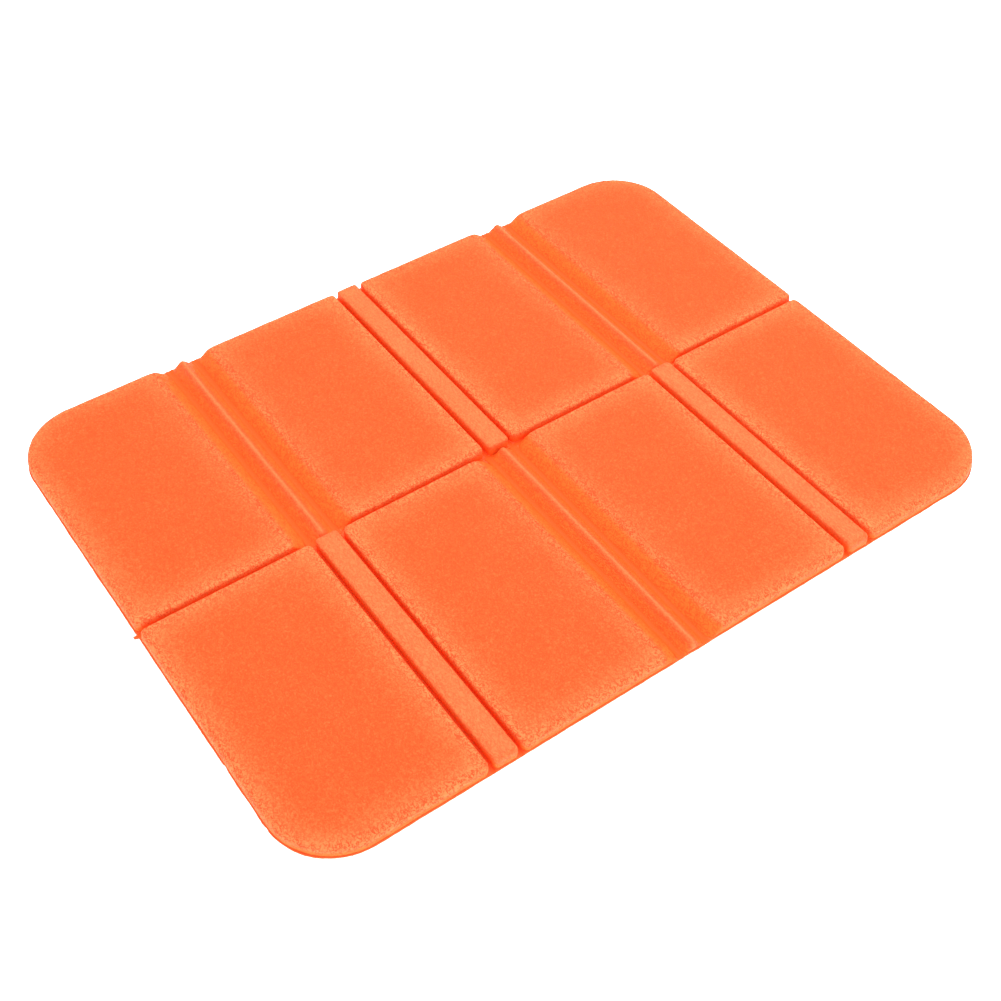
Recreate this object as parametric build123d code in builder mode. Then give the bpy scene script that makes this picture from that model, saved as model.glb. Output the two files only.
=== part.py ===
from build123d import *
import os

# Folding foam seat pad: two rows of four moulded panels on a thin base ply.
# Columns run along X with column 1 at -X, the back row is at +Y, and the base
# ply lies on Z = 0. The pad folds along its centre line and along each spine.

# ---- driving dimensions, in millimetres ----
pad_length = 385.0
pad_width = 290.0
pad_thickness = 6.7
corner_radius = 32.0
end_extra = 3.0  # the end panels are this much longer than the inner ones
base_ply = 0.7
hinge_film = 0.5

fold_gap = 0.6  # left between two panel tops when a column is folded over
under_gap = 0.2  # left between two undersides when the rows are folded together
ply_gap = 0.1  # left between two base plies at a spine in the folded stack
mitre_gap = 0.5  # from a 45 degree wall back to the one through its hinge line
rim_lip = 0.6  # base ply proud of the cushions round the rim
ridge_round = 1.0  # at the peak between a ridge's two walls
panel_corner = 3.0  # plan rounding of a cushion where a slit ends
panel_shoulder = 1.6
strip_corner = 1.5
strip_shoulder = 0.8

# ---- worked out from them ----
spine_width = 2 * pad_thickness + fold_gap  # hinge line to hinge line
inner_length = (pad_length - 3 * spine_width - 2 * end_extra) / 4
column_pitch = inner_length + spine_width
cushion_height = pad_thickness - base_ply
slit_half = base_ply + under_gap + ply_gap  # hinge line to the wall of a narrow slit
mitre_floor = base_ply + mitre_gap  # hinge line to the foot of a 45 degree wall
half_length = pad_length / 2
half_width = pad_width / 2

row_side = {"back": 1, "front": -1}
spine_centre = {"12": -column_pitch, "23": 0.0, "34": column_pitch}
mitred_spines = {"back": ("12", "34"), "front": ("23",)}

os.makedirs("parts", exist_ok=True)


def save(piece, name):
    piece.part.label = name
    export_step(piece.part, f"parts/{name}.step")


def panel_ends(column):
    """Hinge line or rim at the left and at the right of a column."""
    left = -half_length if column == 1 else (column - 3) * column_pitch + spine_width / 2
    right = half_length if column == 4 else (column - 2) * column_pitch - spine_width / 2
    return left, right


def spines_beside(column):
    """The spine at the left and at the right of a column, or None at the rim."""
    left = f"{column - 1}{column}" if column > 1 else None
    right = f"{column}{column + 1}" if column < 4 else None
    return left, right


def wall_offset(row, spine):
    """How far the foot of a cushion's wall stands from the panel's end."""
    if spine is None:
        return rim_lip
    return mitre_floor if spine in mitred_spines[row] else slit_half


def plan(row, left, right, near, far):
    """A rectangle in plan, with near and far measured out from the centre line."""
    with Locations(((left + right) / 2, row_side[row] * (near + far) / 2)):
        Rectangle(right - left, far - near)


def upright_edge(piece, corner):
    """The edge that rises from a corner of a cushion's foot."""
    rising = piece.edges().filter_by(lambda edge: edge.bounding_box().size.Z > cushion_height / 2)
    return rising.sort_by_distance(corner)[0]


# ---- panels: a base ply and a thick cushion on it ----
def panel_ply(row, column):
    left, right = panel_ends(column)
    left_spine, right_spine = spines_beside(column)
    left += slit_half if left_spine else 0
    right -= slit_half if right_spine else 0
    with BuildPart() as ply:
        with BuildSketch() as outline:
            plan(row, left, right, slit_half, half_width)
            if column in (1, 4):
                rim_corner = (left if column == 1 else right, row_side[row] * half_width, 0)
                fillet(outline.vertices().sort_by_distance(rim_corner)[0], radius=corner_radius)
        extrude(amount=base_ply)
    return ply


def panel_cushion(row, column):
    side = row_side[row]
    left, right = panel_ends(column)
    left_spine, right_spine = spines_beside(column)
    left += wall_offset(row, left_spine)
    right -= wall_offset(row, right_spine)
    near, far = slit_half, half_width - rim_lip
    corners = [(x, side * y, base_ply) for x in (left, right) for y in (near, far)]
    with BuildPart() as cushion:
        with BuildSketch(Plane.XY.offset(base_ply)):
            plan(row, left, right, near, far)
        extrude(amount=cushion_height)
        for spine, foot, outward in ((left_spine, left, -1), (right_spine, right, 1)):
            if spine in mitred_spines[row]:
                wall = Plane(origin=(foot, 0, base_ply), z_dir=(outward, 0, 1))
                split(bisect_by=wall, keep=Keep.BOTTOM)
        for corner in corners:
            at_rim_corner = abs(corner[0]) > half_length - corner_radius and abs(corner[1]) > near
            radius = corner_radius - rim_lip if at_rim_corner else panel_corner
            fillet(upright_edge(cushion, corner), radius=radius)
        fillet(cushion.faces().sort_by(Axis.Z)[-1].edges(), radius=panel_shoulder)
    return cushion


for row in row_side:
    for column in (1, 2, 3, 4):
        save(panel_ply(row, column), f"panel_ply_{row}_{column}")
        save(panel_cushion(row, column), f"panel_cushion_{row}_{column}")


# ---- spines: a base ply with a flat strip or a mitred ridge on it ----
def spine_ply(row, spine):
    centre = spine_centre[spine]
    reach = spine_width / 2 - slit_half
    with BuildPart() as ply:
        with BuildSketch():
            plan(row, centre - reach, centre + reach, slit_half, half_width)
        extrude(amount=base_ply)
    return ply


def flat_strip(row, spine):
    """A strip as high as the panels, with a narrow slit along each side."""
    centre = spine_centre[spine]
    reach = spine_width / 2 - slit_half
    with BuildPart() as strip:
        with BuildSketch(Plane.XY.offset(base_ply)) as outline:
            plan(row, centre - reach, centre + reach, slit_half, half_width - rim_lip)
            fillet(outline.vertices(), radius=strip_corner)
        extrude(amount=cushion_height)
        fillet(strip.faces().sort_by(Axis.Z)[-1].edges(), radius=strip_shoulder)
    return strip


def mitred_ridge(row, spine):
    """A ridge with 45 degree walls that meet the panels' walls when it folds."""
    centre = spine_centre[spine]
    foot = spine_width / 2 - mitre_floor
    near, far = slit_half, half_width - rim_lip
    back_end = far if row == "back" else -near
    with BuildPart() as ridge:
        with BuildSketch(Plane.XZ.offset(-back_end)) as profile:
            with BuildLine():
                Polyline(
                    (centre - foot, base_ply),
                    (centre + foot, base_ply),
                    (centre, base_ply + foot),
                    close=True,
                )
            make_face()
            fillet(profile.vertices().sort_by(Axis.Y)[-1], radius=ridge_round)
        extrude(amount=far - near)
    return ridge


for row in row_side:
    for spine in spine_centre:
        save(spine_ply(row, spine), f"spine_ply_{row}_{spine}")
        if spine in mitred_spines[row]:
            save(mitred_ridge(row, spine), f"ridge_{row}_{spine}")
        else:
            save(flat_strip(row, spine), f"strip_{row}_{spine}")


# ---- living hinges: the ply pressed down to a film along each hinge line ----
def hinge_strip(left, right, near, far, row="back"):
    with BuildPart() as film:
        with BuildSketch():
            plan(row, left, right, near, far)
        extrude(amount=hinge_film)
    return film


for row in row_side:
    for spine, centre in spine_centre.items():
        for end, line in (("left", centre - spine_width / 2), ("right", centre + spine_width / 2)):
            film = hinge_strip(line - slit_half, line + slit_half, slit_half, half_width, row)
            save(film, f"hinge_film_{row}_{spine}_{end}")

for column in (1, 2, 3, 4):
    left, right = panel_ends(column)
    left += slit_half if column > 1 else 0
    right -= slit_half if column < 4 else 0
    save(hinge_strip(left, right, -slit_half, slit_half), f"centre_film_{column}")

for spine, centre in spine_centre.items():
    reach = spine_width / 2 - slit_half
    film = hinge_strip(centre - reach, centre + reach, -slit_half, slit_half)
    save(film, f"centre_film_{spine}")
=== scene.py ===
import math

import bpy
import numpy as np
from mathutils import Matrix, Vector, noise


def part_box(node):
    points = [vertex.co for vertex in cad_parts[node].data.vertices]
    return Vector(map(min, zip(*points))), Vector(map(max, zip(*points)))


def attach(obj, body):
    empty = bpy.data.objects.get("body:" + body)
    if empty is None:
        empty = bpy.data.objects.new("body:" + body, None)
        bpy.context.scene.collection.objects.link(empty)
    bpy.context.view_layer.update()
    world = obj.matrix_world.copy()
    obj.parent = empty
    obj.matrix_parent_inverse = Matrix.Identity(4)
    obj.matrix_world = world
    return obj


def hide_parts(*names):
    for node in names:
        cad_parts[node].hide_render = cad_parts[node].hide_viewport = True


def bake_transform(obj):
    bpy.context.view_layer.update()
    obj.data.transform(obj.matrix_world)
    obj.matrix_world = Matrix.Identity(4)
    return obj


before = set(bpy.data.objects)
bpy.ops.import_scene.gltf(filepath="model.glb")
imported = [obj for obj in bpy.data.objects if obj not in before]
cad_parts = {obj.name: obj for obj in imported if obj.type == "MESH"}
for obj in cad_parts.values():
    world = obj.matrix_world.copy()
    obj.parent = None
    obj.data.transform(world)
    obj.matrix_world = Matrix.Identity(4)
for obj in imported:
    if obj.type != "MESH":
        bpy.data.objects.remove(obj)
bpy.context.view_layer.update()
bpy.ops.object.select_all(action="DESELECT")
noise.seed_set(5)  # unseeded, noise_vector starts from the clock

mm = 0.001
rows = {"back": 1, "front": -1}
columns = (1, 2, 3, 4)
spines = ("12", "23", "34")


# camera, floor and lights
camera = {
    "lens": 52.0,
    "sensorWidth": 36.0,
    "azimuth": math.radians(-35.23),
    "elevation": math.radians(47.9),
    "distance": 0.6810,
    "aim": (-0.0178, -0.0254, 0.0),
}


def makeCamera(look):
    azimuth = look["azimuth"]
    elevation = look["elevation"]
    back = Vector((
        math.sin(azimuth) * math.cos(elevation),
        -math.cos(azimuth) * math.cos(elevation),
        math.sin(elevation),
    ))
    place = Vector(look["aim"]) + look["distance"] * back
    turn = (math.pi / 2 - elevation, 0, azimuth)
    bpy.ops.object.camera_add(location=place, rotation=turn)
    shot = bpy.context.object
    shot.data.lens = look["lens"]
    shot.data.sensor_width = look["sensorWidth"]
    bpy.context.scene.camera = shot


studio = {
    "floorSize": 12,
    "floorDrop": 38 * mm,  # the folded stack hangs almost this far below the open pad
    "floorColour": (0.85, 0.85, 0.85, 1),
    "floorRoughness": 0.9,
    "floorGlow": 1.1,
    "white": (1, 1, 1, 1),
    "skyGlow": 1.02,
    "softboxPower": 17.0,
    "softboxSize": 1.5,
    "softboxPlace": (0.55, 0.2, 1.45),
}


def makeStudio(look):
    bpy.ops.mesh.primitive_plane_add(size=look["floorSize"], location=(0, 0, -look["floorDrop"]))
    floor = bpy.context.object
    floor.name = "floor"
    paper = bpy.data.materials.new("paleFloor")
    paper.use_nodes = True
    shader = paper.node_tree.nodes["Principled BSDF"]
    shader.inputs["Base Color"].default_value = look["floorColour"]
    shader.inputs["Roughness"].default_value = look["floorRoughness"]
    shader.inputs["Emission Color"].default_value = look["white"]
    shader.inputs["Emission Strength"].default_value = look["floorGlow"]
    floor.data.materials.append(paper)
    sky = bpy.data.worlds.new("softSky")
    sky.use_nodes = True
    glow = sky.node_tree.nodes["Background"]
    glow.inputs["Color"].default_value = look["white"]
    glow.inputs["Strength"].default_value = look["skyGlow"]
    bpy.context.scene.world = sky
    place = Vector(look["softboxPlace"])
    bpy.ops.object.light_add(type="AREA", location=place)
    softbox = bpy.context.object
    softbox.name = "softbox"
    softbox.data.size = look["softboxSize"]
    softbox.data.energy = look["softboxPower"]
    softbox.rotation_euler = place.to_track_quat("Z", "Y").to_euler()
    bpy.context.scene.view_settings.view_transform = "Standard"
    bpy.context.scene.view_settings.look = "None"


makeCamera(camera)
makeStudio(studio)
print("camera and studio ready")


# foam materials
def addNode(tree, kind, **settings):
    node = tree.nodes.new(kind)
    for name, value in settings.items():
        if hasattr(node, name):
            setattr(node, name, value)
        else:
            node.inputs[name].default_value = value
    return node


def addTexture(tree, kind, place, **settings):
    node = addNode(tree, kind, **settings)
    tree.links.new(place, node.inputs["Vector"])
    return node


def addBump(tree, height, under, **settings):
    node = addNode(tree, "ShaderNodeBump", **settings)
    tree.links.new(height, node.inputs["Height"])
    if under:
        tree.links.new(under, node.inputs["Normal"])
    return node.outputs["Normal"]


def readMesh(tree, name):
    return addNode(tree, "ShaderNodeAttribute", attribute_name=name).outputs["Fac"]


def mixColour(tree, factor, first, second):
    mix = addNode(tree, "ShaderNodeMix", data_type="RGBA")
    tree.links.new(factor, mix.inputs["Factor"])
    for name, value in (("A", first), ("B", second)):
        target = [socket for socket in mix.inputs if socket.name == name and socket.type == "RGBA"][0]
        if isinstance(value, tuple):
            target.default_value = (*value, 1)
        else:
            tree.links.new(value, target)
    return [socket for socket in mix.outputs if socket.type == "RGBA"][0]


def blendValue(tree, kind, first, second):
    node = addNode(tree, "ShaderNodeMath", operation=kind)
    for socket, value in zip(node.inputs, (first, second)):
        if isinstance(value, (int, float)):
            socket.default_value = value
        else:
            tree.links.new(value, socket)
    return node.outputs[0]


def spread(tree, value, fromLow, fromHigh, toLow, toHigh):
    node = addNode(tree, "ShaderNodeMapRange")
    tree.links.new(value, node.inputs["Value"])
    for socket, number in zip(node.inputs[1:5], (fromLow, fromHigh, toLow, toHigh)):
        socket.default_value = number
    return node.outputs["Result"]


def spreadNoise(tree, value, toLow, toHigh):
    # a noise texture's values lie mostly between these two
    return spread(tree, value, 0.3, 0.7, toLow, toHigh)


panelFoam = {
    "deep": (0.975, 0.104, 0.0148),
    "pale": (0.985, 0.262, 0.080),
    # painted light: a lighter, yellower copy of the foam colour, laid on the walls, the valley sides and
    # a ridge's flanks
    "paintedWallLight": (0.99, 0.176, 0.0210),
    # painted shade: the darker colour laid into furrows and creases
    "creaseAndShade": (0.93, 0.050, 0.0030),
    "mottle": 0.05,
    "cloudScale": 70.0,
    "patchScale": 420.0,
    "patchMottle": 0.6,  # as a share of the clouds'
    "speck": 0.26,
    "poreSize": 0.9 * mm,
    "poreDepth": 0.06 * mm,
    "poreStrength": 0.6,
    "fuzzWarp": 0.6,
    "fuzzDepth": 1.6,  # in pore depths
    "fuzzStrength": 0.7,
    "grainSize": (1.5 * mm, 2.2 * mm, 1.5 * mm),
    "grainWarp": 0.9,
    "grainDepth": 0.16 * mm,
    "grainStrength": 0.8,
    "furrowWidth": 0.08,  # how far either side of the noise's middle value a furrow runs
    "furrowShade": 1.0,
    "roughness": (0.58, 0.74),
    "specular": 0.20,
}

grainedFoam = dict(
    panelFoam,
    speck=0.20,
    grainSize=(1.3 * mm, 2.9 * mm, 1.3 * mm),
    furrowShade=0.55,
    roughness=(0.50, 0.68),
    specular=0.24,
)

valleyFoam = dict(
    grainedFoam,
    deep=(0.99, 0.106, 0.0060),
    pale=(0.99, 0.138, 0.0120),
)

baseFoam = dict(
    panelFoam,
    deep=(0.97, 0.095, 0.0125),
    pale=(0.985, 0.158, 0.044),
    speck=0.18,
    grainSize=(1.9 * mm, 1.9 * mm, 1.9 * mm),
    grainDepth=0.08 * mm,
    furrowShade=0.30,
    roughness=(0.55, 0.72),
)

pressedFilm = dict(
    panelFoam,
    deep=(0.98, 0.105, 0.0060),
    pale=(0.98, 0.150, 0.0120),
    speck=0.12,
    poreSize=0.5 * mm,
    poreDepth=0.02 * mm,
    grainSize=(1.1 * mm, 1.1 * mm, 1.1 * mm),
    grainDepth=0.03 * mm,
    furrowShade=0.25,
    roughness=(0.42, 0.56),
    specular=0.28,
)


def foamMaterial(name, look):
    skin = bpy.data.materials.new(name)
    skin.use_nodes = True
    tree = skin.node_tree
    shader = tree.nodes["Principled BSDF"]
    place = addNode(tree, "ShaderNodeTexCoord").outputs["Object"]

    # slow mottling of the dye, a few centimetres and a few millimetres across
    cloud = addTexture(tree, "ShaderNodeTexNoise", place, Scale=look["cloudScale"], Detail=3.0)
    patch = addTexture(tree, "ShaderNodeTexNoise", place, Scale=look["patchScale"], Detail=2.0)
    slowRange = look["mottle"]
    quickRange = look["mottle"] * look["patchMottle"]
    slow = spreadNoise(tree, cloud.outputs["Fac"], -slowRange, slowRange)
    quick = spreadNoise(tree, patch.outputs["Fac"], -quickRange, quickRange)
    mottle = blendValue(tree, "ADD", slow, quick)
    # the pale pressed band, and on a ridge a painted highlight along its crest
    paleness = blendValue(tree, "ADD", readMesh(tree, "pressedAndHighlight"), mottle)

    # closed cells seen through the skin
    cellScale = 1 / look["poreSize"]
    pores = addTexture(tree, "ShaderNodeTexVoronoi", place, Scale=cellScale, feature="F1")
    fuzz = addTexture(
        tree, "ShaderNodeTexNoise", place, Scale=cellScale, Detail=2.0, Distortion=look["fuzzWarp"]
    )
    speck = spreadNoise(tree, fuzz.outputs["Fac"], -look["speck"], look["speck"])
    paleness = blendValue(tree, "ADD", paleness, speck)

    # wandering moulded grain, drawn out along the spines
    stretch = addTexture(tree, "ShaderNodeMapping", place)
    stretch.inputs["Scale"].default_value = [1 / size for size in look["grainSize"]]
    stretched = stretch.outputs["Vector"]
    wander = addTexture(
        tree, "ShaderNodeTexNoise", stretched, Scale=1.0, Detail=2.5, Distortion=look["grainWarp"]
    )
    offMiddle = blendValue(tree, "SUBTRACT", wander.outputs["Fac"], 0.5)
    offMiddle = blendValue(tree, "ABSOLUTE", offMiddle, 0.0)
    furrow = spread(tree, offMiddle, 0.0, look["furrowWidth"], 1.0, 0.0)
    marked = blendValue(tree, "MULTIPLY", furrow, readMesh(tree, "grain"))

    tone = mixColour(tree, paleness, look["deep"], look["pale"])
    # the walls and a ridge's flanks take the lighter copy: painted light
    tone = mixColour(tree, readMesh(tree, "paintedWallLight"), tone, look["paintedWallLight"])
    # furrows and creases are painted darker: painted shade, besides their bump and dents
    shade = blendValue(tree, "MULTIPLY", marked, look["furrowShade"])
    shade = blendValue(tree, "MAXIMUM", shade, readMesh(tree, "creaseAndShade"))
    tone = mixColour(tree, shade, tone, look["creaseAndShade"])
    tree.links.new(tone, shader.inputs["Base Color"])
    rough = spreadNoise(tree, fuzz.outputs["Fac"], *look["roughness"])
    tree.links.new(rough, shader.inputs["Roughness"])
    shader.inputs["Specular IOR Level"].default_value = look["specular"]

    relief = addBump(
        tree, pores.outputs["Distance"], None, Distance=look["poreDepth"], Strength=look["poreStrength"]
    )
    fuzzDepth = look["poreDepth"] * look["fuzzDepth"]
    relief = addBump(
        tree, fuzz.outputs["Fac"], relief, Distance=fuzzDepth, Strength=look["fuzzStrength"]
    )
    relief = addBump(
        tree, marked, relief, Distance=look["grainDepth"], Strength=look["grainStrength"], invert=True
    )
    tree.links.new(relief, shader.inputs["Normal"])
    return skin


finishes = {
    "panelFoam": foamMaterial("panelFoam", panelFoam),
    "grainedFoam": foamMaterial("grainedFoam", grainedFoam),
    "valleyFoam": foamMaterial("valleyFoam", valleyFoam),
    "baseFoam": foamMaterial("baseFoam", baseFoam),
    "pressedFilm": foamMaterial("pressedFilm", pressedFilm),
}
print("materials ready")


# every moulded slab is a grid whose height falls away at its sides; a side is a rim,
# a slit or a mitre, and sides are always given as left, right, near and far
lineGrowth = 1.25  # from one mesh line's pitch to the next one inward
tiny = 1e-7
mergeWithin = 2e-6


def shoulderDrop(distance, width, height):
    inside = np.clip(1 - distance / width, 0, 1)
    return height * (1 - np.sqrt(1 - inside**2))


def mitreDrop(distance, height, softness):
    return softness * np.logaddexp(0, (height - distance) / softness)


def sideDrop(kind, distance, height, look):
    if kind == "mitre":
        return mitreDrop(distance, height, look["mitreSoftness"])
    return shoulderDrop(distance, *look[kind + "Shoulder"])


def sideSteps(kind, look):
    # distances from a side where the mesh lines of its rounding run
    if kind == "mitre":
        return list(np.arange(0, look["mitreBand"] + 1e-9, look["fine"]))
    width = look[kind + "Shoulder"][0]
    return [width * (1 - math.cos(math.radians(angle))) for angle in range(0, 91, 15)]


def meshLines(low, high, lowSteps, highSteps, widest):
    left, right = list(lowSteps), list(highSteps)
    leftStep, rightStep = left[-1] - left[-2], right[-1] - right[-2]
    while left[-1] + right[-1] < high - low:
        if left[-1] <= right[-1]:
            leftStep = min(leftStep * lineGrowth, widest)
            left.append(left[-1] + leftStep)
        else:
            rightStep = min(rightStep * lineGrowth, widest)
            right.append(right[-1] + rightStep)
    if len(left) > len(lowSteps):
        left.pop()
    else:
        right.pop()
    return np.array([low + step for step in left] + [high - step for step in reversed(right)])


def addGrid(name, low, high, sides, look):
    # the mesh lines of the top, and rings outside them that become the walls
    steps = [sideSteps(kind, look) for kind in sides]
    yPitch = look["fine"] if "mitre" in sides else look["widest"]
    xLines = meshLines(low[0], high[0], steps[0], steps[1], look["widest"])
    yLines = meshLines(low[1], high[1], steps[2], steps[3], yPitch)
    rings = look["wallRings"]
    across, along = len(xLines) + 2 * rings - 1, len(yLines) + 2 * rings - 1
    bpy.ops.mesh.primitive_grid_add(x_subdivisions=across, y_subdivisions=along, size=1)
    piece = bpy.context.object
    piece.name = name
    piece.data.name = name
    spots = np.empty(len(piece.data.vertices) * 3)
    piece.data.vertices.foreach_get("co", spots)
    spots = spots.reshape(-1, 3)
    column = np.rint((spots[:, 0] + 0.5) * across).astype(int)
    line = np.rint((spots[:, 1] + 0.5) * along).astype(int)
    ring = np.minimum(np.minimum(column, across - column), np.minimum(line, along - line))
    down = np.clip((rings - ring) / rings, 0, 1)  # 0 on the top, 1 at the foot of the wall
    x = xLines[np.clip(column - rings, 0, len(xLines) - 1)]
    y = yLines[np.clip(line - rings, 0, len(yLines) - 1)]
    return piece, x, y, down


def flareWalls(x, y, low, high, sides, look):
    # mitred walls stand further back towards both ends
    flare, flareReach = look["flare"]
    fromEnds = np.minimum(y - low[1], high[1] - y)
    back = flare * np.clip(1 - fromEnds / flareReach, 0, 1) ** look["flareCurve"]
    backLeft = back * (sides[0] == "mitre")
    backRight = back * (sides[1] == "mitre")
    x = x + backLeft * np.clip(1 - (x - low[0]) / look["flareFade"], 0, 1)
    x = x - backRight * np.clip(1 - (high[0] - x) / look["flareFade"], 0, 1)
    return x, x - low[0] - backLeft, high[0] - x - backRight


def wayToRim(sides, distances):
    # the way out to the nearest rim, and how far off it is
    rimX, rimY, fromRim = [np.full(len(distances[0]), value) for value in (0.0, 0.0, 1.0)]
    outward = ((-1, 0), (1, 0), (0, -1), (0, 1))
    for kind, distance, out in zip(sides, distances, outward):
        if kind == "rim":
            closer = distance < fromRim
            rimX[closer], rimY[closer] = out
            fromRim[closer] = distance[closer]
    return rimX, rimY, fromRim


def wayOut(fromLow, fromHigh):
    # -1 or 1 on the outline, 0 inside it
    onEdge = np.minimum(fromLow, fromHigh) < tiny
    return np.where(fromHigh < fromLow, 1.0, -1.0) * onEdge


def roundCorner(skin, kinds, edges, signs, look):
    # bends a square corner of the grid into a quarter circle
    atRim = kinds == ("rim", "rim")
    radius = look["rimCorner"] if atRim else look["slitCorner"]
    if radius == 0 or "mitre" in kinds:
        return
    centreX, centreY = edges[0] - signs[0] * radius, edges[1] - signs[1] * radius
    a, b = (skin["x"] - centreX) * signs[0], (skin["y"] - centreY) * signs[1]
    here = (a > 0) & (b > 0)
    a, b = a[here], b[here]
    bentA = a * np.sqrt(1 - b**2 / (2 * radius**2))
    bentB = b * np.sqrt(1 - a**2 / (2 * radius**2))
    skin["x"][here] = centreX + signs[0] * bentA
    skin["y"][here] = centreY + signs[1] * bentB
    span = np.hypot(bentA, bentB)
    inward = radius - span
    wayX, wayY = signs[0] * bentA / span, signs[1] * bentB / span
    shareX = (bentA / span) ** 2
    dropX = shoulderDrop(inward, *look[kinds[0] + "Shoulder"])
    dropY = shoulderDrop(inward, *look[kinds[1] + "Shoulder"])
    skin["drop"][here] = shareX * dropX + (1 - shareX) * dropY
    onEdge = np.isclose(inward, 0, atol=tiny)
    skin["outX"][here] = np.where(onEdge, wayX, 0)
    skin["outY"][here] = np.where(onEdge, wayY, 0)
    if atRim:
        skin["hollow"][here] = np.exp(-inward / look["crownReach"])
        skin["pale"][here] = np.exp(-inward / look["paleReach"])
        skin["rimX"][here], skin["rimY"][here] = wayX, wayY
        skin["fromRim"][here] = inward


def rimWave(x, y, look):
    # a trimmed rim is never quite straight
    slowWave, quickWave = look["rimWaveLength"]
    place = Vector((x, y, look["seed"] * mm))
    wave = look["rimWave"] * (noise.noise(place / slowWave) + 0.6 * noise.noise(place / quickWave))
    for nickX, nickY, size in look["nicks"]:
        away = math.hypot(x - nickX, y - nickY)
        wave -= size * math.exp(-((away / look["nickWidth"]) ** 2))
    return wave


def waveRim(skin, look):
    wave = np.zeros(len(skin["x"]))
    for index in np.nonzero(skin["fromRim"] < look["rimWaveReach"])[0]:
        wave[index] = rimWave(skin["x"][index], skin["y"][index], look)
    wave = wave * np.exp(-skin["fromRim"] / look["rimWaveFade"])
    skin["x"] = skin["x"] + skin["rimX"] * wave
    skin["y"] = skin["y"] + skin["rimY"] * wave


def wanderingCrease(x, y, look):
    # 1 in the middle of a crease, 0 between creases
    across, along = look["creaseSize"]
    broadWidth, narrowWidth = look["creaseWidth"]
    broadShare, narrowShare = look["creaseShare"]
    spot = Vector((x / across, y / along, look["seed"]))
    spot += look["creaseWander"] * noise.noise_vector(spot * 0.8)
    narrowSpot = spot * look["narrowScale"] + Vector((7.3, 1.1, 4.9))
    broad = math.exp(-((noise.noise(spot) / broadWidth) ** 2))
    narrow = math.exp(-((noise.noise(narrowSpot) / narrowWidth) ** 2))
    return broadShare * broad + narrowShare * narrow


def onWall(distance, height, halfBlend):
    # 1 on a mitred wall, 0 past its shoulder
    return np.clip((height + halfBlend - distance) / (2 * halfBlend), 0, 1)


def grainOf(sides, distances, clear, down, fromPeak, height, look):
    # strongest near the edges and on a ridge's walls, weak on upright walls and on a peak
    nearEdge = np.clip(1.15 - np.minimum.reduce(clear) / look["edgeGrainReach"], 0, 1)
    grain = np.maximum(look["grained"], look["edgeGrain"] * nearEdge)
    for kind, distance in zip(sides[:2], distances[:2]):
        if kind == "mitre":
            grain = grain + (look["wallGrain"] - grain) * onWall(distance, height, look["grainBlend"])
    grain = grain * (1 - look["footFade"] * np.clip(down * 2, 0, 1))
    if sides[:2] == ("mitre", "mitre"):
        grain = grain * np.clip(look["peakGrain"] + fromPeak / look["peakGrainReach"], 0, 1)
    return grain


def pressCreases(mesh, skin, grain, down, foot, look):
    # moulded creases, pressed in along the normals where the grain is strong; their strength is returned
    # for the painted shade in them
    spots = np.stack([skin["x"], skin["y"], skin["z"]], axis=1)
    mesh.vertices.foreach_set("co", spots.ravel())
    mesh.update()
    normals = np.empty(spots.size)
    mesh.vertex_normals.foreach_get("vector", normals)
    strong = np.clip((grain - look["creaseFrom"]) / (1 - look["creaseFrom"]), 0, 1)
    share = strong * np.clip((skin["z"] - foot) / look["creaseFade"], 0, 1)
    creaseAndShade = np.zeros(len(spots))
    for index in np.nonzero((share > 0.02) & (down < 0.5))[0]:
        creaseAndShade[index] = wanderingCrease(skin["x"][index], skin["y"][index], look) * share[index]
    depth = look["creaseDepth"] * creaseAndShade * (down == 0)
    spots -= normals.reshape(-1, 3) * depth[:, None]
    mesh.vertices.foreach_set("co", spots.ravel())
    return creaseAndShade


def toneOf(sides, distances, pale, down, fromPeak, height, look):
    # how much painted wall light each point takes, and how pale it has been pressed, with a painted
    # highlight along a ridge's crest
    # walls take the painted light, fully from a little way down
    paintedWallLight = np.clip(down * 2.5, 0, 1)
    pressedAndHighlight = np.clip(look["paleBase"] + look["paleEdge"] * pale, 0, 1.2)
    if sides[:2] == ("mitre", "mitre"):
        # a ridge's flanks take the painted light away from its crest
        lightFrom, lightOver = look["flankLight"]
        paintedWallLight = np.clip((fromPeak - lightFrom) / lightOver, 0, 1)
        # painted highlight along a ridge's crest
        pressedAndHighlight = pressedAndHighlight + look["peakHighlight"] * np.exp(-((fromPeak / look["highlightWidth"]) ** 2))
    elif "mitre" in sides:
        fromFoot = distances[sides.index("mitre")]
        # mitred walls take the painted light as well
        paintedWallLight = np.maximum(paintedWallLight, onWall(fromFoot, height, look["wallLightBlend"]))
        paleFrom, paleOver = look["wallPale"]
        pressedAndHighlight = pressedAndHighlight * np.clip((fromFoot - paleFrom) / paleOver, 0, 1)
    return paintedWallLight * look["wallLightShare"], pressedAndHighlight


def closeFoot(piece):
    # closes the foot and merges what the corners folded together
    bpy.ops.object.mode_set(mode="EDIT")
    bpy.ops.mesh.select_mode(type="EDGE")
    bpy.ops.mesh.select_all(action="SELECT")
    bpy.ops.mesh.remove_doubles(threshold=mergeWithin)
    bpy.ops.mesh.select_all(action="DESELECT")
    bpy.ops.mesh.select_non_manifold()
    bpy.ops.mesh.edge_face_add()
    bpy.ops.mesh.select_all(action="SELECT")
    bpy.ops.mesh.normals_make_consistent(inside=False)
    bpy.ops.object.mode_set(mode="OBJECT")
    bpy.ops.object.shade_smooth_by_angle(angle=math.radians(50))
    piece.select_set(False)


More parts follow.
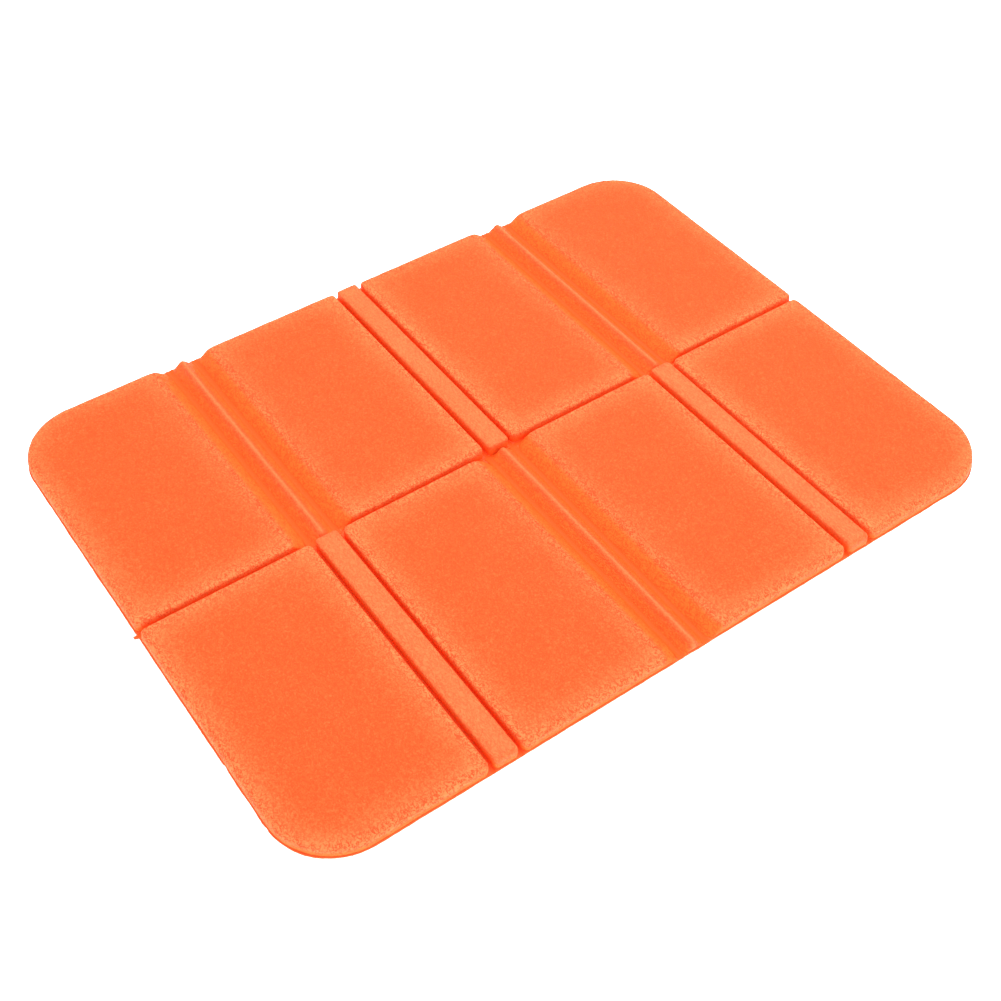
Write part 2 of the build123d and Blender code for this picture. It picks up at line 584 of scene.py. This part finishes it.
def moulded(name, low, high, sides, look):
    inset = [look["slitInset"] if kind == "slit" else 0 for kind in sides]
    low = (low[0] + inset[0], low[1] + inset[2], low[2])
    high = (high[0] - inset[1], high[1] - inset[3], high[2])
    foot, top = low[2] - look["bedded"], high[2]
    height = top - foot
    piece, x, y, down = addGrid(name, low, high, sides, look)
    x, fromLeft, fromRight = flareWalls(x, y, low, high, sides, look)
    distances = (fromLeft, fromRight, y - low[1], high[1] - y)
    drops = [sideDrop(kind, distance, height, look) for kind, distance in zip(sides, distances)]
    dropX, dropY = drops[0] + drops[1], drops[2] + drops[3]
    onTop = 1 - np.clip(dropX / height, 0, 1)

    # distance past the shoulder, for the crown and for the paler pressed band
    clear = [
        np.maximum(distance - (height if kind == "mitre" else 0), 0)
        for kind, distance in zip(sides, distances)
    ]
    strength = [look["mitrePale"] if kind == "mitre" else 1 for kind in sides]
    crownGaps = [1 - np.exp(-gap / look["crownReach"]) for gap in clear]
    paleGaps = [1 - share * np.exp(-gap / look["paleReach"]) for share, gap in zip(strength, clear)]
    rimX, rimY, fromRim = wayToRim(sides, distances)
    skin = {
        "x": x,
        "y": y,
        "drop": dropX + dropY * onTop,
        "hollow": 1 - np.prod(crownGaps, axis=0),
        "pale": 1 - np.prod(paleGaps, axis=0),
        "rimX": rimX,
        "rimY": rimY,
        "fromRim": fromRim,
        "outX": wayOut(distances[0], distances[1]),
        "outY": wayOut(distances[2], distances[3]),
    }
    for kindX, edgeX, signX in ((sides[0], low[0], -1), (sides[1], high[0], 1)):
        for kindY, edgeY, signY in ((sides[2], low[1], -1), (sides[3], high[1], 1)):
            roundCorner(skin, (kindX, kindY), (edgeX, edgeY), (signX, signY), look)

    z = top - look["crown"] * skin["hollow"] * onTop - skin["drop"]
    z = np.maximum(z, foot)
    skin["z"] = z * (1 - down) + foot * down
    walled = np.clip((z - foot) / look["swellFrom"], 0, 1)  # 0 where a mitre comes down to the foot
    swell = look["wallSwell"] * np.sin(math.pi * down) * walled
    skin["x"] = skin["x"] + skin["outX"] * swell
    skin["y"] = skin["y"] + skin["outY"] * swell
    waveRim(skin, look)

    fromPeak = np.abs(skin["x"] - (low[0] + high[0]) / 2)
    grain = grainOf(sides, distances, clear, down, fromPeak, height, look)
    creaseAndShade = pressCreases(piece.data, skin, grain, down, foot, look)
    paintedWallLight, pressedAndHighlight = toneOf(sides, distances, skin["pale"], down, fromPeak, height, look)
    # the lighter walls, the crest highlight and the darker creases stored here are painted light and
    # painted shade
    tone = {"paintedWallLight": paintedWallLight, "pressedAndHighlight": pressedAndHighlight, "grain": grain, "creaseAndShade": creaseAndShade * look["creaseShade"]}
    for key, values in tone.items():
        attribute = piece.data.attributes.new(key, "FLOAT", "POINT")
        attribute.data.foreach_set("value", values.astype(np.float32))
    closeFoot(piece)
    return piece


panelCushion = {
    "crown": 0.55 * mm,  # the middle stands this far above the shoulders
    "crownReach": 8 * mm,
    "rimShoulder": (2.5 * mm, 2.4 * mm),  # width and height
    "slitShoulder": (1.3 * mm, 1.3 * mm),
    "slitInset": 0.22 * mm,
    "mitreSoftness": 0.85 * mm,
    "mitreBand": 11 * mm,
    "rimCorner": 31.4 * mm,
    "slitCorner": 3.0 * mm,
    "flare": (1.7 * mm, 5.5 * mm),
    "flareCurve": 2.2,
    "flareFade": 12 * mm,
    "fine": 0.42 * mm,
    "widest": 3.0 * mm,
    "wallRings": 3,
    "wallSwell": 0.12 * mm,
    "swellFrom": 0.1 * mm,
    "bedded": 0.04 * mm,  # the foot is pressed this far into the ply
    "grained": 0.48,
    "edgeGrain": 0.95,
    "edgeGrainReach": 11 * mm,
    "wallGrain": 0.60,
    "grainBlend": 1 * mm,
    "footFade": 0.6,
    "creaseSize": (0.95 * mm, 2.1 * mm),  # across and along
    "creaseWander": 0.75,
    "creaseWidth": (0.16, 0.17),  # of the broad ones and the narrow ones
    "creaseShare": (0.65, 0.35),
    "narrowScale": 1.9,
    "creaseFrom": 0.3,  # there are none where the grain is weaker
    "creaseFade": 0.8 * mm,  # they fade out this far above the foot
    "creaseDepth": 0.17 * mm,
    # how dark the painted shade in the creases is
    "creaseShade": 0.30,
    "seed": 3.7,
    "paleBase": 0.0,
    "paleEdge": 1.1,
    "paleReach": 5.5 * mm,
    "mitrePale": 0.7,
    "wallPale": (4 * mm, 4 * mm),  # from the foot of a mitred wall, and over which distance
    # share of the painted light on walls, and how far it blends on to a mitred wall
    "wallLightShare": 0.95,
    "wallLightBlend": 1.2 * mm,
    "rimWave": 0.16 * mm,
    "rimWaveLength": (9 * mm, 1.7 * mm),
    "rimWaveReach": 4 * mm,
    "rimWaveFade": 0.9 * mm,
    "nicks": [],
    "nickWidth": 1.1 * mm,
}


def sideKind(row, spine):
    if spine not in spines:
        return "rim"
    return "mitre" if f"ridge_{row}_{spine}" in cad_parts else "slit"


def endKinds(row):
    return ("slit", "rim") if row == "back" else ("rim", "slit")


def dress(piece, finish, node):
    piece.data.materials.clear()
    piece.data.materials.append(finishes[finish])
    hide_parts(node)


for row, side in rows.items():
    for column in columns:
        node = f"panel_cushion_{row}_{column}"
        low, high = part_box(node)
        kinds = [sideKind(row, f"{first}{first + 1}") for first in (column - 1, column)]
        look = dict(panelCushion, seed=panelCushion["seed"] + 2.3 * column + 11 * side)
        piece = moulded(f"cushion_{row}_{column}", low, high, (*kinds, *endKinds(row)), look)
        dress(piece, "panelFoam", node)
        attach(piece, f"{row}_panel_{column}")
        print("cushion", row, column, len(piece.data.polygons), "faces")


flatStrip = dict(
    panelCushion,
    crown=0.25 * mm,
    crownReach=2.5 * mm,
    rimShoulder=(2.2 * mm, 2.2 * mm),
    slitShoulder=(1.1 * mm, 1.0 * mm),
    slitCorner=1.9 * mm,
    widest=0.42 * mm,
    grained=0.72,
    creaseDepth=0.16 * mm,
    # painted shade in the creases
    creaseShade=0.22,
    seed=21.4,
    paleBase=0.42,
    paleEdge=0.16,
)

ridgeBar = dict(
    panelCushion,
    crown=0.0,
    rimShoulder=(2.4 * mm, 2.4 * mm),
    slitShoulder=(1.1 * mm, 0.9 * mm),
    mitreSoftness=0.55 * mm,
    mitreBand=5.6 * mm,
    flare=(1.0 * mm, 3 * mm),
    fine=0.38 * mm,
    widest=0.38 * mm,
    grained=1.0,
    wallGrain=1.0,
    creaseDepth=0.18 * mm,
    seed=41.9,
    paleBase=0.10,
    paleEdge=0.0,
    peakHeight=5.8 * mm,  # before its rounding, from the foot
    peakGrain=0.35,
    peakGrainReach=2.2 * mm,
    # a painted highlight along the crest, and its width
    peakHighlight=0.46,
    highlightWidth=1.8 * mm,
    # where a ridge's flanks start to take the painted light
    flankLight=(1.3 * mm, 2.2 * mm),  # from the peak, and over which distance
)

towardCrease = 0.55 * mm  # the spines' foam reaches this far over the centre crease

for row, side in rows.items():
    for number, spine in enumerate(spines):
        kind = sideKind(row, spine)
        ridged = kind == "mitre"
        node = f"ridge_{row}_{spine}" if ridged else f"strip_{row}_{spine}"
        base = ridgeBar if ridged else flatStrip
        low, high = [Vector(corner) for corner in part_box(node)]
        if ridged:
            high.z = low.z + base["peakHeight"]
        if row == "back":
            low.y -= towardCrease
        else:
            high.y += towardCrease
        look = dict(base, seed=base["seed"] + 5.1 * number + 13 * side)
        name = f"ridgeFoam_{row}_{spine}" if ridged else f"stripFoam_{row}_{spine}"
        piece = moulded(name, low, high, (kind, kind, *endKinds(row)), look)
        dress(piece, "grainedFoam", node)
        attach(piece, f"{row}_spine_{spine}")
        print("spine", row, spine, "ridge" if ridged else "strip", len(piece.data.polygons), "faces")


panelPly = dict(
    panelCushion,
    crown=0.0,
    rimShoulder=(0.30 * mm, 0.30 * mm),
    slitShoulder=(0.06 * mm, 0.06 * mm),
    slitInset=0,
    rimCorner=32.0 * mm,
    slitCorner=0,
    widest=1.5 * mm,
    wallRings=2,
    wallSwell=0.05 * mm,
    bedded=0,
    grained=0.25,
    edgeGrain=0.0,
    seed=61.3,
    paleBase=0.35,
    paleEdge=0.35,
    rimWave=0.20 * mm,
    # small snips left on the left edge by the trimming tool
    nicks=[(-192.5 * mm, -80 * mm, 0.45 * mm), (-192.5 * mm, -114 * mm, 0.40 * mm)],
)

for row in rows:
    for column in columns:
        node = f"panel_ply_{row}_{column}"
        low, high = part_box(node)
        kinds = ["rim" if column == last else "slit" for last in (1, 4)]
        piece = moulded(f"ply_{row}_{column}", low, high, (*kinds, *endKinds(row)), panelPly)
        dress(piece, "baseFoam", node)
        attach(piece, f"{row}_panel_{column}")
    for spine in spines:
        node = f"spine_ply_{row}_{spine}"
        low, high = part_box(node)
        piece = moulded(f"spinePly_{row}_{spine}", low, high, ("slit", "slit", *endKinds(row)), panelPly)
        dress(piece, "baseFoam", node)
        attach(piece, f"{row}_spine_{spine}")
print("base plies ready")


hingeFilm = {
    # half of the section, from the underside up to the top, out from the hinge line;
    # it runs a little way into the ply beside it, and up on to it in a mitred valley
    "underside": [(0.99 * mm, 0), (1.04 * mm, 0.3 * mm)],
    "slitSide": [(1.04 * mm, 0.50 * mm), (0.5 * mm, 0.50 * mm)],
    "valleySide": [
        (1.9 * mm, 0.68 * mm),
        (1.9 * mm, 1.24 * mm),
        (1.45 * mm, 0.90 * mm),
        (0.9 * mm, 0.64 * mm),
    ],
    "lowCrest": 0.71 * mm,  # a valley's side is this high at both ends, and rises from there
    "crestRise": 0.12,
    "cuts": 90,
    "ripple": 0.06 * mm,
    "rippleSize": 1.9 * mm,
    "rippleFrom": 0.6,  # of the film's thickness, so that the underside stays flat
}


def halfFilm(name, line, toward, farY, thickness, ridged, look):
    # one side of a hinge line, with a round end centred on the line, so that it still
    # covers the line when the pad folds away from it
    turns = [math.radians(angle) for angle in (90, 72, 54, 36, 18, 7)]
    profile = [(-thickness * math.cos(turn), thickness * math.sin(turn)) for turn in turns]
    profile += [(0, 0), *look["underside"]]
    profile += look["valleySide"] if ridged else look["slitSide"]
    bpy.ops.mesh.primitive_circle_add(vertices=len(profile), radius=1, fill_type="NGON")
    piece = bpy.context.object
    piece.name = name
    piece.data.name = name
    for vertex, (out, up) in zip(piece.data.vertices, profile):
        vertex.co = (line + toward * out, 0, up)
    bpy.ops.object.mode_set(mode="EDIT")
    bpy.ops.mesh.select_mode(type="FACE")
    bpy.ops.mesh.select_all(action="SELECT")
    bpy.ops.mesh.extrude_region_move(TRANSFORM_OT_translate={"value": (0, farY, 0)})
    bpy.ops.object.mode_set(mode="OBJECT")

    # cut across the long edges
    for edge in piece.data.edges:
        start, end = [piece.data.vertices[index].co for index in edge.vertices]
        edge.select = abs(start.y - end.y) > 1 * mm
    for face in piece.data.polygons:
        face.select = False
    bpy.ops.object.mode_set(mode="EDIT")
    bpy.ops.mesh.select_mode(type="EDGE")
    bpy.ops.mesh.subdivide(number_cuts=look["cuts"])
    bpy.ops.mesh.select_all(action="SELECT")
    bpy.ops.mesh.normals_make_consistent(inside=False)
    bpy.ops.object.mode_set(mode="OBJECT")
    for vertex in piece.data.vertices:
        fromEnds = min(abs(vertex.co.y), abs(farY - vertex.co.y))
        crest = look["lowCrest"] + look["crestRise"] * fromEnds
        vertex.co.z = min(vertex.co.z, crest)
        if vertex.co.z > thickness * look["rippleFrom"]:
            vertex.co.z += look["ripple"] * noise.noise(vertex.co / look["rippleSize"])
    bpy.ops.object.shade_smooth_by_angle(angle=math.radians(40))
    piece.select_set(False)
    return piece


for row in rows:
    for number, spine in enumerate(spines):
        for end in ("left", "right"):
            node = f"hinge_film_{row}_{spine}_{end}"
            low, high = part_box(node)
            line = (low[0] + high[0]) / 2
            farY = high[1] if row == "back" else low[1]
            thickness = high[2] - low[2]
            ridged = sideKind(row, spine) == "mitre"
            finish = "valleyFoam" if ridged else "pressedFilm"
            panel = number + 1 if end == "left" else number + 2
            toPanel = -1 if end == "left" else 1
            for where, toward, body in (
                ("panel", toPanel, f"{row}_panel_{panel}"),
                ("spine", -toPanel, f"{row}_spine_{spine}"),
            ):
                name = f"film_{row}_{spine}_{end}_{where}"
                piece = halfFilm(name, line, toward, farY, thickness, ridged, hingeFilm)
                dress(piece, finish, node)
                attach(piece, body)
print("hinge films ready")


centreFilm = {
    "rowsAcross": 20,
    "pitch": 1.6 * mm,
    "tuck": 0.04 * mm,
    "ripple": 0.05 * mm,
    "rippleSize": 1.7 * mm,
    "nubLength": 1.7 * mm,  # a tag of flash left at the left end of the centre crease
    "nubTaper": 0.45,
    "nubLean": 0.25 * mm,
}


def bendingFilm(name, low, high, nub, look):
    # a strip along the centre crease, cut into many fine rows
    left = low[0] - look["tuck"] - (look["nubLength"] if nub else 0)
    right = high[0] + look["tuck"]
    near, far = low[1] - look["tuck"], high[1] + look["tuck"]
    bpy.ops.mesh.primitive_grid_add(
        x_subdivisions=max(4, round((right - left) / look["pitch"])),
        y_subdivisions=look["rowsAcross"],
        size=1,
        location=((left + right) / 2, (near + far) / 2, high[2]),
    )
    piece = bpy.context.object
    piece.scale = (right - left, far - near, 1)
    piece.name = name
    piece.data.name = name
    bpy.ops.object.transform_apply(location=True, rotation=True, scale=True)
    for vertex in piece.data.vertices:
        place = vertex.co
        place.z += look["ripple"] * noise.noise(place / look["rippleSize"])
        if nub and place.x < low[0]:
            share = (low[0] - place.x) / look["nubLength"]
            place.y = place.y * (1 - look["nubTaper"] * share) + look["nubLean"] * share
    solid = piece.modifiers.new("body", "SOLIDIFY")
    solid.thickness = high[2] - low[2]
    solid.offset = -1
    bpy.ops.object.modifier_apply(modifier=solid.name)
    bpy.ops.object.shade_smooth_by_angle(angle=math.radians(40))
    piece.select_set(False)
    return piece


creaseParts = [(column, f"panel_{column}") for column in columns]
creaseParts += [(spine, f"spine_{spine}") for spine in spines]
for part, body in creaseParts:
    node = f"centre_film_{part}"
    low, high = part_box(node)
    piece = bendingFilm(f"creaseFilm_{part}", low, high, part == 1, centreFilm)
    dress(piece, "pressedFilm", node)
    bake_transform(piece)
print("centre films ready")
